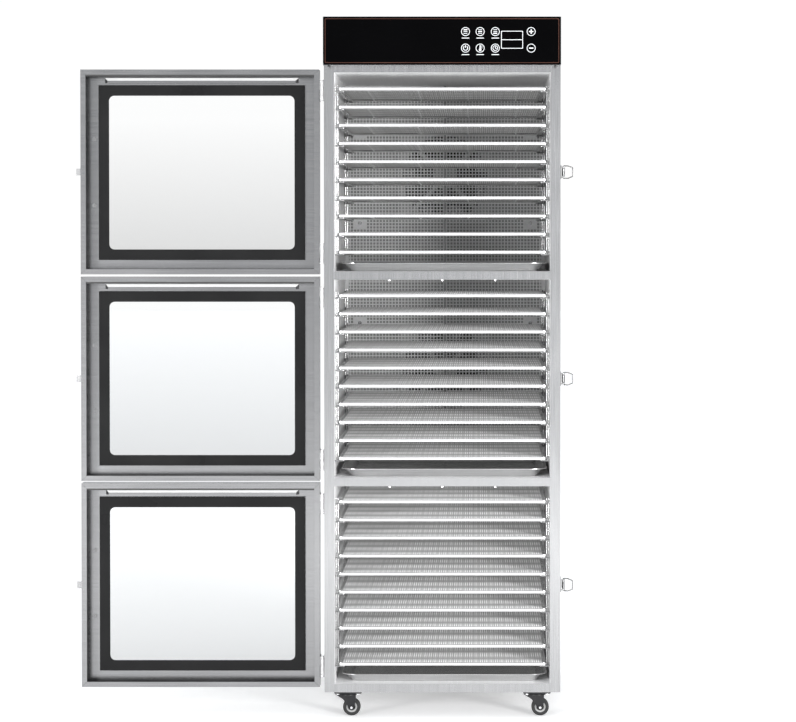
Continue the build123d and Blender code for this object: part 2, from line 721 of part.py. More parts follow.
def caster_fork(x, y):
    """Fork with two legs trailing to the axle, and the axle through it."""
    top = cabinet_bottom - caster_plate_thickness - plate_race - floor_gap
    crown = rod_z(fork_top_radius, x, y, (top - fork_sheet, top))
    crown -= rod_z(kingpin_radius + pin_fit, x, y, (top - 2 * fork_sheet, top + 1))
    axle_x = x + wheel_trail
    gap = wheel_width / 2 + wheel_side_gap
    half_foot = fork_foot / 2
    outline = [
        (x - fork_heel, top), (x + fork_toe, top), (x + fork_toe, top - fork_waist),
        (axle_x + fork_foot, wheel_radius), (axle_x + half_foot, wheel_radius - fork_foot + 1),
        (axle_x - half_foot, wheel_radius - fork_foot + 1), (axle_x - fork_foot, wheel_radius),
        (x - fork_waist, top - fork_waist),
    ]
    leg = make_face(Plane.XZ * Polyline(*outline, close=True))
    fork = crown
    for near in (y - gap - fork_sheet, y + gap):
        fork += Pos(0, near, 0) * extrude(leg, fork_sheet, dir=(0, 1, 0))
    head = gap + fork_sheet + axle_head_height
    fork += rod_y(axle_head_radius, axle_x, (y - head, y - gap - fork_sheet / 2), wheel_radius)
    fork += rod_y(axle_head_radius, axle_x, (y + gap + fork_sheet / 2, y + head), wheel_radius)
    return fork + rod_y(axle_radius, axle_x, (y - gap - 1, y + gap + 1), wheel_radius)


def caster_wheel(x, y):
    """Tyre and dished hub in one, turning on the fork's axle."""
    axle_x = x + wheel_trail
    half = wheel_width / 2
    wheel = fillet(rod_y(wheel_radius, axle_x, (y - half, y + half), wheel_radius).edges(), 2.5)
    for side in (-1, 1):
        dish = sorted((y + side * (half - wheel_rim_dish), y + side * (half + 1)))
        wheel -= rod_y(wheel_rim_radius, axle_x, dish, wheel_radius)
    return wheel - rod_y(axle_radius + pin_fit, axle_x, (y - half - 1, y + half + 1), wheel_radius)


# ---------------------------------------------------------------- writing the nodes
def write_cabinet():
    keep([cabinet_shell()], "cabinet_shell")
    keep([chamber_liner(z) for z in chamber_floors], "chamber_liners")
    keep([rear_cover()], "rear_cover")
    keep([piece for z in chamber_middles for piece in back_guard(z)], "back_guards")
    keep([fan_frame(z) for z in chamber_middles], "fan_frames")
    keep([baffle_panel(z) for z in chamber_middles], "baffle_panels")
    keep([heating_element(z) for z in chamber_middles], "heating_elements")
    racks = [piece for z in chamber_floors for side in (-1, 1) for piece in side_rack(z, side)]
    keep(racks, "tray_racks")
    keep([control_housing()], "control_housing")
    keep([control_glass()], "control_glass")
    keep(control_boards(), "control_boards")
    keep([mains_inlet()], "mains_inlet")
    keep(cabinet_hinges(), "cabinet_hinges")
    keep([piece for z in chamber_middles for piece in latch_base(z)], "latch_bases")
    keep(trim_screws(), "trim_screws")


def write_chambers():
    for name, floor, middle in zip(chamber_names, chamber_floors, chamber_middles):
        keep([door_panel(middle)], f"door_{name}_panel")
        keep([door_glass(middle)], f"door_{name}_glass")
        keep(door_hardware(middle), f"door_{name}_hardware")
        keep([latch_lever(middle)], f"latch_{name}_lever")
        keep([latch_bail(middle)], f"latch_{name}_bail")
        keep([fan_impeller(middle)], f"fan_impeller_{name}")
        keep([drip_tray(floor)], f"drip_tray_{name}")
        for first in range(1, trays_per_chamber, 2):
            pair = [tray(floor, first), tray(floor, first + 1)]
            keep(pair, f"trays_{name}_{first:02d}_{first + 1:02d}")


def write_casters():
    corners = {
        "front_left": (-caster_x, -caster_y), "front_right": (caster_x, -caster_y),
        "rear_left": (-caster_x, caster_y), "rear_right": (caster_x, caster_y),
    }
    keep([caster_plate(x, y) for x, y in corners.values()], "caster_plates")
    for name, (x, y) in corners.items():
        keep([caster_fork(x, y)], f"caster_fork_{name}")
        keep([caster_wheel(x, y)], f"caster_wheel_{name}")


os.makedirs("parts", exist_ok=True)
write_cabinet()
write_chambers()
write_casters()
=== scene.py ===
import math

import bmesh
import bpy
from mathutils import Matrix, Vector


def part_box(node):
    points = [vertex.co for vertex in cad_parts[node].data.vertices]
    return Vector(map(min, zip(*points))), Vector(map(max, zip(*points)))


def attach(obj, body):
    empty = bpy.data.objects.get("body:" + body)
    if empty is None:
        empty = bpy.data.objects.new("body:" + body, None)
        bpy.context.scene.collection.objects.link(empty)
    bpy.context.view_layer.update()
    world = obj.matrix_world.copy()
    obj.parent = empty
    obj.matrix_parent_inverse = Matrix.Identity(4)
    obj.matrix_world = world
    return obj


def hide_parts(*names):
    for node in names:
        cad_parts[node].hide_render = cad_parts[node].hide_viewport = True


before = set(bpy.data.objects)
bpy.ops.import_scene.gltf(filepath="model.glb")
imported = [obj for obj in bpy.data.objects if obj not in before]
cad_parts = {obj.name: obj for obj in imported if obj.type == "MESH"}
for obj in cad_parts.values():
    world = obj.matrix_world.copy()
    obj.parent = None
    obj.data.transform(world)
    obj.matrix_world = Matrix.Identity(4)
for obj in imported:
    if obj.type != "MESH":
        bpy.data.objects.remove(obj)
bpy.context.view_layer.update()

mm = 0.001
zones = ("upper", "middle", "lower")

# ---------------------------------------------------------------- sizes of the finer work
tray_tall = 6 * mm
tray_corner = 4 * mm
tray_mesh_pitch = 4.0 * mm
tray_mesh_inset = 4 * mm
tray_mesh_depth = 1.4 * mm  # of the wires' middle plane below the tray's top
tray_wire = 0.7 * mm  # radius
tray_rod = 1.25 * mm  # radius
tray_rods = 4

guard_mesh_pitch = 6.7 * mm
guard_strip = 1.15 * mm  # half a strip's width
guard_sheet = 0.7 * mm
guard_gap = 0.3 * mm  # to the chamber, above and below
guard_border = 7 * mm
guard_border_sheet = 2.4 * mm
guard_corner = 2 * mm
guard_wire, guard_wire_forward = 1.5 * mm, 2 * mm  # radius and place of the centre wire
guard_to_fan_frame = 9 * mm
clip_x, clip_z = 178 * mm, 95 * mm  # places of the clips from the zone's middle
clip_half = 13 * mm
clip_corner = 2.5 * mm
clip_sheet = 1.4 * mm
clip_set_off = 1.5 * mm
clip_bolt = 2.5 * mm  # radius
clip_nut = 4.2 * mm  # radius
clip_nut_front, clip_nut_back = 1.8 * mm, 1 * mm  # from the clip's face

vent_pad_half = (66 * mm, 56 * mm)
vent_pad_reach = (2.2 * mm, 0.1 * mm)  # from the cover's inner face to the pad's two faces

print_thickness = 0.2 * mm
border_width = 20.5 * mm
border_edge = 0.4 * mm
border_corner = 2 * mm
window_corner = 10 * mm
mitre_start, mitre_end = 0.6 * mm, 10 * mm  # from the door's corner
mitre_radius = 0.35 * mm / 2
mitre_depth = 0.02 * mm
# places of the dark hem strip, a painted shadow
hem_inset = 10.6 * mm
hem_top, hem_bottom = 9.9 * mm, 13.2 * mm  # below the door's top
hem_front, hem_back = 0.2 * mm, 2.4 * mm  # behind the door's face

# Places on the control panel: x from the cabinet's middle, z down from the panel's top.
panel_rows = (28.6 * mm, 60.2 * mm)
panel_columns = (45 * mm, 73 * mm, 102 * mm)
panel_last_column = 170.6 * mm
icon_ring, icon_line = 8.3 * mm, 0.95 * mm
caption_drop, caption_half = 12.4 * mm, (7.2 * mm, 0.6 * mm)
sign_long, sign_short = 4.2 * mm, 0.9 * mm
display_top, display_bottom = 27.4 * mm, 61 * mm
display_x, display_half_x = 134 * mm, 20.8 * mm
display_corner = 1.2 * mm
display_divider = 0.5 * mm  # half its width
copper_insets, copper_corner = (3.7 * mm, 4.5 * mm), 1.5 * mm

hub_depth = 1.5 * mm
# Radius and height of the ring's section, in mm.
hub_profile = [(10.6, 0.0), (10.6, 0.6), (10.0, 1.0), (7.6, 1.0), (7.0, 0.5), (7.0, 0.0)]
lip_screw_height = 1.25  # the screws above this, under the control box, are drawn nearly black
axle_cap, axle_cap_deep, axle_cap_proud = 2.7 * mm, 1.5 * mm, 0.1 * mm
plate_half, plate_sheet = 26.5 * mm, 3 * mm
nut_reach, nut_cap, nut_tall = 19.5 * mm, 3.35 * mm, 2.75 * mm


# ---------------------------------------------------------------- shader node groups
def new_group(name, inputs, outputs):
    """An empty shader group with float or vector inputs, and its two end nodes."""
    group = bpy.data.node_groups.new(name, "ShaderNodeTree")
    for label, kind, value in inputs:
        socket = group.interface.new_socket(label, in_out="INPUT", socket_type=kind)
        socket.default_value = value
    for label in outputs:
        group.interface.new_socket(label, in_out="OUTPUT", socket_type="NodeSocketFloat")
    return group, group.nodes.new("NodeGroupInput"), group.nodes.new("NodeGroupOutput")


def feed(tree, socket, value):
    """Links a socket to another one, or gives it a constant."""
    if isinstance(value, bpy.types.NodeSocket):
        tree.links.new(value, socket)
    else:
        socket.default_value = (*value, 1) if socket.type == "RGBA" else value


def feed_all(tree, node, **values):
    """Feeds inputs by their names, written with _ for a space."""
    for label, value in values.items():
        feed(tree, node.inputs[label.replace("_", " ")], value)
    return node


def coordinates(tree, kind="Object"):
    return tree.nodes.new("ShaderNodeTexCoord").outputs[kind]


def axes_of(tree, vector):
    split = tree.nodes.new("ShaderNodeSeparateXYZ")
    tree.links.new(vector, split.inputs[0])
    return split.outputs


def maths(tree, operation, *values):
    node = tree.nodes.new("ShaderNodeMath")
    node.operation = operation
    for index, value in enumerate(values):
        feed(tree, node.inputs[index], value)
    return node.outputs[0]


def noise(tree, vector, scale, detail):
    node = tree.nodes.new("ShaderNodeTexNoise")
    return feed_all(tree, node, Vector=vector, Scale=scale, Detail=detail).outputs["Fac"]


def remap(tree, value, low, high):
    """Spreads a 0.3 to 0.7 noise value over low to high, which may be sockets."""
    node = tree.nodes.new("ShaderNodeMapRange")
    feed_all(tree, node, Value=value, From_Min=0.3, From_Max=0.7, To_Min=low, To_Max=high)
    return node.outputs["Result"]


def blend_colours(tree, factor, first, second):
    node = tree.nodes.new("ShaderNodeMix")
    node.data_type = "RGBA"
    tree.links.new(factor, node.inputs["Factor"])
    feed(tree, node.inputs[6], first)
    feed(tree, node.inputs[7], second)
    return node.outputs[2]


def build_grain_group():
    """Long streaks along the brushing direction, and a roughness that cloudy marks vary."""
    inputs = [
        ("Stretch", "NodeSocketVector", (900, 900, 12)),
        ("Smudge Scale", "NodeSocketFloat", 5.0),
        ("Rough Low", "NodeSocketFloat", 0.25),
        ("Rough High", "NodeSocketFloat", 0.4),
    ]
    group, start, end = new_group("brushed_grain", inputs, ["Streaks", "Roughness"])
    place = coordinates(group)
    scaled = group.nodes.new("ShaderNodeVectorMath")
    scaled.operation = "MULTIPLY"
    group.links.new(place, scaled.inputs[0])
    group.links.new(start.outputs["Stretch"], scaled.inputs[1])
    streaks = noise(group, scaled.outputs["Vector"], 1.0, 3.0)
    smudges = noise(group, place, start.outputs["Smudge Scale"], 3.0)
    both = maths(group, "MULTIPLY_ADD", smudges, 0.5, maths(group, "MULTIPLY", streaks, 0.5))
    rough = remap(group, both, start.outputs["Rough Low"], start.outputs["Rough High"])
    feed_all(group, end, Streaks=streaks, Roughness=rough)
    return group


def build_speckle_group():
    """Fine pitting for moulded plastic, castings and powder paint."""
    inputs = [("Scale", "NodeSocketFloat", 400.0)]
    group, start, end = new_group("fine_pits", inputs, ["Pits", "Clouds"])
    place = coordinates(group)
    pits = noise(group, place, start.outputs["Scale"], 2.0)
    feed_all(group, end, Pits=pits, Clouds=noise(group, place, 9.0, 3.0))
    return group


def build_painted_weave_shade_group():
    """Painted shade: dark lines along both ways, standing in for the shade where the cross wires of a
    mesh dip under their neighbours.
    """
    inputs = [("Pitch", "NodeSocketFloat", 0.01), ("Share", "NodeSocketFloat", 0.4)]
    group, start, end = new_group("painted_weave_shade", inputs, ["Shade"])
    axes = axes_of(group, coordinates(group))
    pitch = start.outputs["Pitch"]
    lines = []
    for axis in ("X", "Y"):
        share = maths(group, "DIVIDE", maths(group, "PINGPONG", axes[axis], pitch), pitch)
        line = group.nodes.new("ShaderNodeMapRange")
        feed_all(group, line, Value=share, From_Max=start.outputs["Share"])
        lines.append(line.outputs["Result"])
    feed_all(group, end, Shade=maths(group, "MINIMUM", *lines))
    return group


grain_group = build_grain_group()
painted_weave_shade_group = build_painted_weave_shade_group()
pits_group = build_speckle_group()


# ---------------------------------------------------------------- materials
def shader_of(material):
    return material.node_tree, material.node_tree.nodes["Principled BSDF"]


def new_material(name):
    material = bpy.data.materials.new(name)
    material.use_nodes = True
    return material, *shader_of(material)


def place_group(tree, group, **values):
    node = tree.nodes.new("ShaderNodeGroup")
    node.node_tree = group
    return feed_all(tree, node, **values)


def bump(tree, height, strength):
    """The normal of a surface with fine relief, at most 0.2 mm deep."""
    node = tree.nodes.new("ShaderNodeBump")
    return feed_all(tree, node, Strength=strength, Distance=0.0002, Height=height).outputs["Normal"]


def metal(name, dark, light, rough, stretch, strength=0.12, dull=0.0):
    """Brushed or drawn metal, whose tone and roughness follow the grain.

    dull is the share that scatters like matt metal.
    """
    material, tree, shader = new_material(name)
    grain = place_group(
        tree, grain_group, Stretch=stretch, Smudge_Scale=5.0, Rough_Low=rough[0], Rough_High=rough[1]
    )
    streaks = grain.outputs["Streaks"]
    feed_all(
        tree, shader, Base_Color=blend_colours(tree, remap(tree, streaks, 0.0, 1.0), dark, light),
        Roughness=grain.outputs["Roughness"], Metallic=1.0 - dull, Normal=bump(tree, streaks, strength),
    )
    return material


def moulded(name, dark, light, rough, scale=500.0, metallic=0.0, strength=0.15):
    """Plastic, paint or casting with fine pits and a slightly uneven tone."""
    material, tree, shader = new_material(name)
    pits = place_group(tree, pits_group, Scale=scale)
    clouds = pits.outputs["Clouds"]
    feed_all(
        tree, shader, Base_Color=blend_colours(tree, clouds, dark, light),
        Roughness=remap(tree, clouds, *rough), Metallic=metallic,
        Normal=bump(tree, pits.outputs["Pits"], strength),
    )
    return material


def clear_glass(name):
    """Clear glass with a painted reflection: its colour is a little greyer towards its lower edge."""
    material, tree, shader = new_material(name)
    pits = place_group(tree, pits_group, Scale=6.0)
    tone = tree.nodes.new("ShaderNodeMapRange")
    height = axes_of(tree, coordinates(tree, "Generated"))["Z"]
    feed_all(tree, tone, Value=height, From_Min=0.05, From_Max=0.8)
    # painted reflection: grey low on the pane, near white at its top
    painted_reflection = blend_colours(tree, tone.outputs["Result"], (0.72, 0.725, 0.725), (0.965, 0.97, 0.97))
    rough = remap(tree, pits.outputs["Clouds"], 0.0, 0.03)
    feed_all(tree, shader, Base_Color=painted_reflection, Roughness=rough, Transmission_Weight=1.0, IOR=1.45)
    return material


def printed_light(name, colour, strength):
    """Light marks printed behind the panel's glass, faintly lit."""
    material, tree, shader = new_material(name)
    pits = place_group(tree, pits_group, Scale=900.0)
    dim = tuple(0.85 * c for c in colour)
    tone = blend_colours(tree, pits.outputs["Pits"], dim, colour)
    feed_all(
        tree, shader, Base_Color=tone, Roughness=0.35, Emission_Color=colour, Emission_Strength=strength
    )
    return material


def give_glow(material, strength):
    """Adds an even white glow: on the tray and guard meshes it is painted light, standing in for the
    light that a dense stack of bright meshes passes to and fro; on the floor it keeps the floor evenly
    white.
    """
    feed_all(*shader_of(material), Emission_Color=(1, 1, 1), Emission_Strength=strength)


def darken_above(material, height, shade):
    """Darkens the part of a material that lies above a height."""
    tree, shader = shader_of(material)
    above = maths(tree, "GREATER_THAN", axes_of(tree, coordinates(tree))["Z"], height)
    plain = shader.inputs["Base Color"].links[0].from_socket
    feed_all(tree, shader, Base_Color=blend_colours(tree, above, plain, shade))


def paint_light_on_upward_slopes(material):
    """Painted highlight: sloping faces that look up, such as the pressed hood, are drawn pale and less
    metallic, as if lit from above.

    They are the faces whose normal points up by 0.4 to 0.9.
    """
    tree, shader = shader_of(material)
    upward = axes_of(tree, coordinates(tree, "Normal"))["Z"]
    slope = maths(tree, "COMPARE", upward, 0.65, 0.25)
    plain = shader.inputs["Base Color"].links[0].from_socket
    # painted highlight: upward slopes turn pale and lose most of their metal look
    feed_all(
        tree, shader, Base_Color=blend_colours(tree, slope, plain, (0.95, 0.95, 0.95)),
        Metallic=maths(tree, "MULTIPLY_ADD", slope, -0.8, 1.0),
    )


def paint_weave_shade_into(material, pitch, share, shade):
    """Paints shade on a mesh material along the lines between its wires."""
    tree, shader = shader_of(material)
    plain = shader.inputs["Base Color"].links[0].from_socket
    painted_shade = place_group(tree, painted_weave_shade_group, Pitch=pitch, Share=share)
    feed_all(tree, shader, Base_Color=blend_colours(tree, painted_shade.outputs["Shade"], shade, plain))


# Directions of the grain, as the noise's density along x, y and z.
upright, level, deep = (700, 700, 9), (9, 700, 700), (700, 9, 700)
even = (300, 300, 300)

# Each line has a name, two tones, the range of roughness, and what the function asks for next.
cabinet_steel = metal(
    "brushed_cabinet_steel", (0.36, 0.36, 0.365), (0.45, 0.45, 0.455), (0.2, 0.29), upright, 0.08
)
door_steel = metal(
    "brushed_door_steel", (0.27, 0.27, 0.275), (0.33, 0.33, 0.335), (0.2, 0.28), level, 0.05
)
liner_steel = metal(
    "rolled_liner_steel", (0.84, 0.84, 0.845), (0.92, 0.92, 0.925), (0.4, 0.55), deep, dull=0.8
)
# painted shade: the baffles, deep behind the guards, get a darker copy of the liner steel
baffle_painted_shade_steel = metal(
    "baffle_painted_shade_steel", (0.42, 0.42, 0.42), (0.5, 0.5, 0.5), (0.4, 0.55), level, dull=0.7
)
mesh_steel = metal(
    "tray_mesh_steel", (0.84, 0.84, 0.84), (0.95, 0.95, 0.95), (0.3, 0.45), even, dull=0.7
)
rim_steel = metal(
    "tray_edge_steel", (0.62, 0.62, 0.62), (0.72, 0.72, 0.72), (0.2, 0.34), level, dull=0.3
)
pan_steel = metal("drip_pan_steel", (0.46, 0.46, 0.46), (0.58, 0.58, 0.58), (0.16, 0.3), level)
drawn_wire = metal("drawn_rack_wire", (0.32, 0.32, 0.32), (0.44, 0.44, 0.44), (0.12, 0.22), upright)
guard_steel = metal(
    "guard_mesh_steel", (0.88, 0.88, 0.88), (0.96, 0.96, 0.96), (0.35, 0.5), even, dull=0.85
)
polished = metal(
    "polished_fittings", (0.17, 0.17, 0.172), (0.28, 0.28, 0.282), (0.14, 0.26), upright, 0.05
)
hinge_steel = metal(
    "hinge_steel", (0.26, 0.26, 0.262), (0.36, 0.36, 0.362), (0.34, 0.46), upright, 0.05
)
bail_wire = metal("bail_wire", (0.07, 0.07, 0.07), (0.13, 0.13, 0.13), (0.15, 0.26), upright, 0.05)
screw_steel = metal("turned_screw_steel", (0.6, 0.6, 0.61), (0.8, 0.8, 0.81), (0.2, 0.34), even)
rail_screw_steel = metal("rail_screw_steel", (0.6, 0.6, 0.61), (0.8, 0.8, 0.81), (0.25, 0.36), even)
fan_metal = moulded("cast_fan_metal", (0.5, 0.5, 0.5), (0.6, 0.6, 0.6), (0.4, 0.6), 300.0, 0.2)
blade_metal = moulded(
    "fan_blade_metal", (0.08, 0.08, 0.08), (0.14, 0.14, 0.14), (0.4, 0.6), 300.0, 0.8
)
heater_metal = moulded(
    "heater_sheath", (0.16, 0.13, 0.12), (0.3, 0.27, 0.25), (0.4, 0.6), 600.0, 0.9
)
black_paint = moulded(
    "black_caster_paint", (0.008, 0.008, 0.009), (0.018, 0.018, 0.019), (0.3, 0.45), 700.0
)
tyre_black = moulded("tyre_black", (0.01, 0.01, 0.01), (0.022, 0.022, 0.022), (0.45, 0.62), 900.0)
hub_grey = moulded("hub_grey", (0.22, 0.22, 0.22), (0.3, 0.3, 0.3), (0.4, 0.55), 800.0)
inlet_black = moulded(
    "inlet_black", (0.015, 0.015, 0.015), (0.035, 0.035, 0.035), (0.4, 0.55), 900.0
)
board_green = moulded("board_green", (0.01, 0.09, 0.03), (0.02, 0.14, 0.05), (0.4, 0.6), 900.0)
panel_black = moulded(
    "panel_black_glass", (0.0006, 0.0006, 0.0007), (0.0012, 0.0012, 0.0014), (0.05, 0.12), 60.0,
    strength=0.01,
)
border_black = moulded(
    "printed_border", (0.007, 0.007, 0.0073), (0.011, 0.011, 0.0113), (0.25, 0.4), 700.0,
    strength=0.05,
)
seam_dark = moulded("seam_shadow", (0.012, 0.012, 0.012), (0.02, 0.02, 0.02), (0.5, 0.7), 900.0)
copper_line = metal("copper_line", (0.10, 0.045, 0.035), (0.17, 0.08, 0.06), (0.3, 0.45), level)
# painted highlight on the door steel's upward slopes
paint_light_on_upward_slopes(door_steel)
darken_above(rail_screw_steel, lip_screw_height, (0.03, 0.03, 0.03))
# painted light: the tray and guard meshes glow a little, though they are no lamps
give_glow(mesh_steel, 0.09)
give_glow(guard_steel, 0.025)
# painted shade between the tray wires, along both ways at two pitches
paint_weave_shade_into(mesh_steel, 0.005, 0.35, (0.45, 0.45, 0.45))
paint_weave_shade_into(mesh_steel, 0.0021, 0.8, (0.22, 0.22, 0.22))
icon_light = printed_light("icon_print", (0.62, 0.64, 0.66), 0.2)
door_glass = clear_glass("door_window_glass")
glosses = ((panel_black, 0.02), (border_black, 0.1), (black_paint, 0.25), (tyre_black, 0.25))
for material, gloss in glosses:
    feed_all(*shader_of(material), Specular_IOR_Level=gloss)

node_materials = {
    "cabinet_shell": cabinet_steel, "chamber_liners": liner_steel, "rear_cover": cabinet_steel,
    "back_guards": guard_steel, "fan_frames": fan_metal, "baffle_panels": baffle_painted_shade_steel,
    "heating_elements": heater_metal, "tray_racks": drawn_wire, "control_housing": cabinet_steel,
    "control_glass": panel_black, "control_boards": board_green, "mains_inlet": inlet_black,
    "cabinet_hinges": hinge_steel, "latch_bases": polished, "trim_screws": rail_screw_steel,
    "caster_plates": black_paint,
}
prefix_materials = {
    "latch_": polished, "fan_impeller": blade_metal, "drip_tray": pan_steel, "trays_": mesh_steel,
    "caster_fork": black_paint, "caster_wheel": tyre_black,
}
door_materials = {"panel": door_steel, "glass": door_glass, "hardware": hinge_steel}


def material_of(node):
    if node in node_materials:
        return node_materials[node]
    if node.endswith("_bail"):
        return bail_wire
    if node.startswith("door_"):
        return door_materials[node.split("_")[-1]]
    return next(m for prefix, m in prefix_materials.items() if node.startswith(prefix))


def dress_cad_nodes():
    for node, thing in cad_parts.items():
        thing.data.materials.clear()
        thing.data.materials.append(material_of(node))


# ---------------------------------------------------------------- mesh tools
class Shape:
    """Collects vertices and faces, each face with the number of its material."""

    def __init__(self):
        self.points = []
        self.faces = []
        self.slots = []

    def add(self, points, faces, slot=0):
        start = len(self.points)
        self.points += [tuple(p) for p in points]
        self.faces += [tuple(start + i for i in face) for face in faces]
        self.slots += [slot] * len(faces)

    def loft(self, rings, slot=0, closed=False, caps=False):
        """Skins rings of equally many points, each a closed loop."""
        count = len(rings[0])
        points = [p for ring in rings for p in ring]
        faces = []
        last = len(rings) if closed else len(rings) - 1
        for i in range(last):
            a, b = i * count, ((i + 1) % len(rings)) * count
            for k in range(count):
                n = (k + 1) % count
                faces.append((a + k, a + n, b + n, b + k))
        if caps:
            faces.append(tuple(reversed(range(count))))
            faces.append(tuple(range((len(rings) - 1) * count, len(rings) * count)))
        self.add(points, faces, slot)

    def rod(self, start, end, radius, sides=4, slot=0):
        """A straight wire with flat ends."""
        start, end = Vector(start), Vector(end)
        along = (end - start).normalized()
        across = along.orthogonal().normalized()
        other = along.cross(across)
        turn = [math.tau * (k + 0.5) / sides for k in range(sides)]
        ring = [radius * (math.cos(t) * across + math.sin(t) * other) for t in turn]
        self.loft([[start + v for v in ring], [end + v for v in ring]], slot, caps=True)

    def block(self, low, high, slot=0):
        (x0, y0, z0), (x1, y1, z1) = low, high
        base = [(x0, y0), (x1, y0), (x1, y1), (x0, y1)]
        self.loft([[(x, y, z0) for x, y in base], [(x, y, z1) for x, y in base]], slot, caps=True)

    def flat_ring(self, outer, inner, y, thickness, slot=0):
        """A flat band between two loops of (x, z) points, facing the front at y."""
        rings = [
            [(x, y, z) for x, z in outer], [(x, y, z) for x, z in inner],
            [(x, y + thickness, z) for x, z in inner], [(x, y + thickness, z) for x, z in outer],
        ]
        self.loft(rings, slot, closed=True)


def make_piece(name, shape, materials, body, replaced=()):
    mesh = bpy.data.meshes.new(name)
    mesh.from_pydata(shape.points, [], shape.faces)
    for material in materials:
        mesh.materials.append(material)
    mesh.polygons.foreach_set("material_index", shape.slots)
    work = bmesh.new()
    work.from_mesh(mesh)
    bmesh.ops.recalc_face_normals(work, faces=work.faces)
    work.to_mesh(mesh)
    work.free()
    piece = bpy.data.objects.new(name, mesh)
    bpy.context.scene.collection.objects.link(piece)
    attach(piece, body)
    if replaced:
        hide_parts(*replaced)
    return piece


def rounded_loop(centre, half_x, half_y, radius, steps=5):
    """Points round a rectangle with rounded corners, in two dimensions."""
    loop = []
    for quarter, (sx, sy) in enumerate(((1, 1), (-1, 1), (-1, -1), (1, -1))):
        corner = (centre[0] + sx * (half_x - radius), centre[1] + sy * (half_y - radius))
        for k in range(steps + 1):
            turn = math.pi / 2 * (quarter + k / steps)
            loop.append((corner[0] + radius * math.cos(turn), corner[1] + radius * math.sin(turn)))
    return loop


def circle_loop(centre, radius, sides=32):
    turns = [math.tau * k / sides for k in range(sides)]
    return [(centre[0] + radius * math.cos(t), centre[1] + radius * math.sin(t)) for t in turns]


def spaced(low, high, pitch):
    """Evenly spaced places between two ends, about a pitch apart."""
    count = max(1, round((high - low) / pitch))
    return [low + (high - low) * (k + 0.5) / count for k in range(count)]


# ---------------------------------------------------------------- trays
def tray_edge(shape, low, high):
    """Rolled edge strip all the way round, open towards the middle."""
    centre = ((low[0] + high[0]) / 2, (low[1] + high[1]) / 2)
    half = ((high[0] - low[0]) / 2, (high[1] - low[1]) / 2)
    tall = high[2] - low[2]
    section = [  # inset from the outside, height above the tray's underside
        (7 * mm, tall - 0.6 * mm), (5 * mm, tall), (1.2 * mm, tall), (0.2 * mm, tall - 0.8 * mm),
        (0, tall * 0.6), (0.2 * mm, 0.8 * mm), (1.2 * mm, 0), (9 * mm, 0), (9 * mm, 0.8 * mm),
        (1.6 * mm, 0.9 * mm), (1.0 * mm, tall * 0.6), (1.8 * mm, tall - 1.0 * mm),
    ]
    rings = []
    for inset, up in section:
        corner = max(tray_corner - inset, 0.2 * mm)
        loop = rounded_loop(centre, half[0] - inset, half[1] - inset, corner, 3)
        rings.append([(x, y, low[2] + up) for x, y in loop])
    shape.loft(rings, 1, closed=True)


def tray_mesh(shape, low, high):
    """Crossing wires over stout rods that run from front to back."""
    x0, x1 = low[0] + tray_mesh_inset, high[0] - tray_mesh_inset
    y0, y1 = low[1] + tray_mesh_inset, high[1] - tray_mesh_inset
    middle = high[2] - tray_mesh_depth
    z = middle - tray_wire
    for x in spaced(x0, x1, tray_mesh_pitch):
        shape.rod((x, y0, z), (x, y1, z), tray_wire)
    z = middle + tray_wire * 0.5
    for y in spaced(y0, y1, tray_mesh_pitch):
        shape.rod((x0, y, z), (x1, y, z), tray_wire)
    z = middle - 2 * tray_wire - tray_rod
    for x in spaced(x0, x1, (x1 - x0) / tray_rods):
        shape.rod((x, y0, z), (x, y1, z), tray_rod, 6)


def build_trays():
    """Each node holds two trays: one at its bottom and one at its top."""
    for node in [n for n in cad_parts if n.startswith("trays_")]:
        low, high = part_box(node)
        shape = Shape()
        for bottom in (low.z, high.z - tray_tall):
            ends = (low.x, low.y, bottom), (high.x, high.y, bottom + tray_tall)
            tray_edge(shape, *ends)
            tray_mesh(shape, *ends)
        make_piece(f"{node}_woven", shape, [mesh_steel, rim_steel], node, [node])


# ---------------------------------------------------------------- mesh guards
def build_guards():
    """Square mesh in a narrow frame, with clips and an upright centre wire, for each zone."""
    low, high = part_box("back_guards")
    x0, x1 = low.x, high.x
    half_x, half_z = (x1 - x0) / 2, zone_half_height - guard_gap
    y = guard_plane
    shape = Shape()
    for zone in zones:
        middle = zone_middle(zone)
        z0, z1 = middle - half_z, middle + half_z
        for x in spaced(x0, x1, guard_mesh_pitch):
            shape.block((x - guard_strip, y, z0), (x + guard_strip, y + guard_sheet, z1))
        for z in spaced(z0, z1, guard_mesh_pitch):
            shape.block((x0, y - guard_sheet, z - guard_strip), (x1, y, z + guard_strip))
        outer, inner = (
            rounded_loop((0, middle), half_x - inset, half_z - inset, guard_corner, 2)
            for inset in (0, guard_border)
        )
        shape.flat_ring(outer, inner, y - guard_border_sheet / 2, guard_border_sheet, 1)
        wire_y = y - guard_wire_forward
        shape.rod((0, wire_y, z0), (0, wire_y, z1), guard_wire, 8, 2)
        for x in (-clip_x, clip_x):
            for z in (middle - clip_z, middle + clip_z):
                guard_clip(shape, x, y - clip_set_off, z)
                shape.rod((x, y + clip_set_off, z), (x, high.y, z), clip_bolt, 8, 2)
    materials = [guard_steel, liner_steel, drawn_wire]
    make_piece("back_guards_wire", shape, materials, "cabinet", ["back_guards"])


def build_vent_pads():
    """Dark filter pad inside the rear cover, behind each set of slots."""
    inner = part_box("rear_cover")[0].y
    front, back = (inner - reach for reach in vent_pad_reach)
    half_x, half_z = vent_pad_half
    shape = Shape()
    for zone in zones:
        middle = zone_middle(zone)
        shape.block((-half_x, front, middle - half_z), (half_x, back, middle + half_z))
    make_piece("vent_pads", shape, [tyre_black], "cabinet")


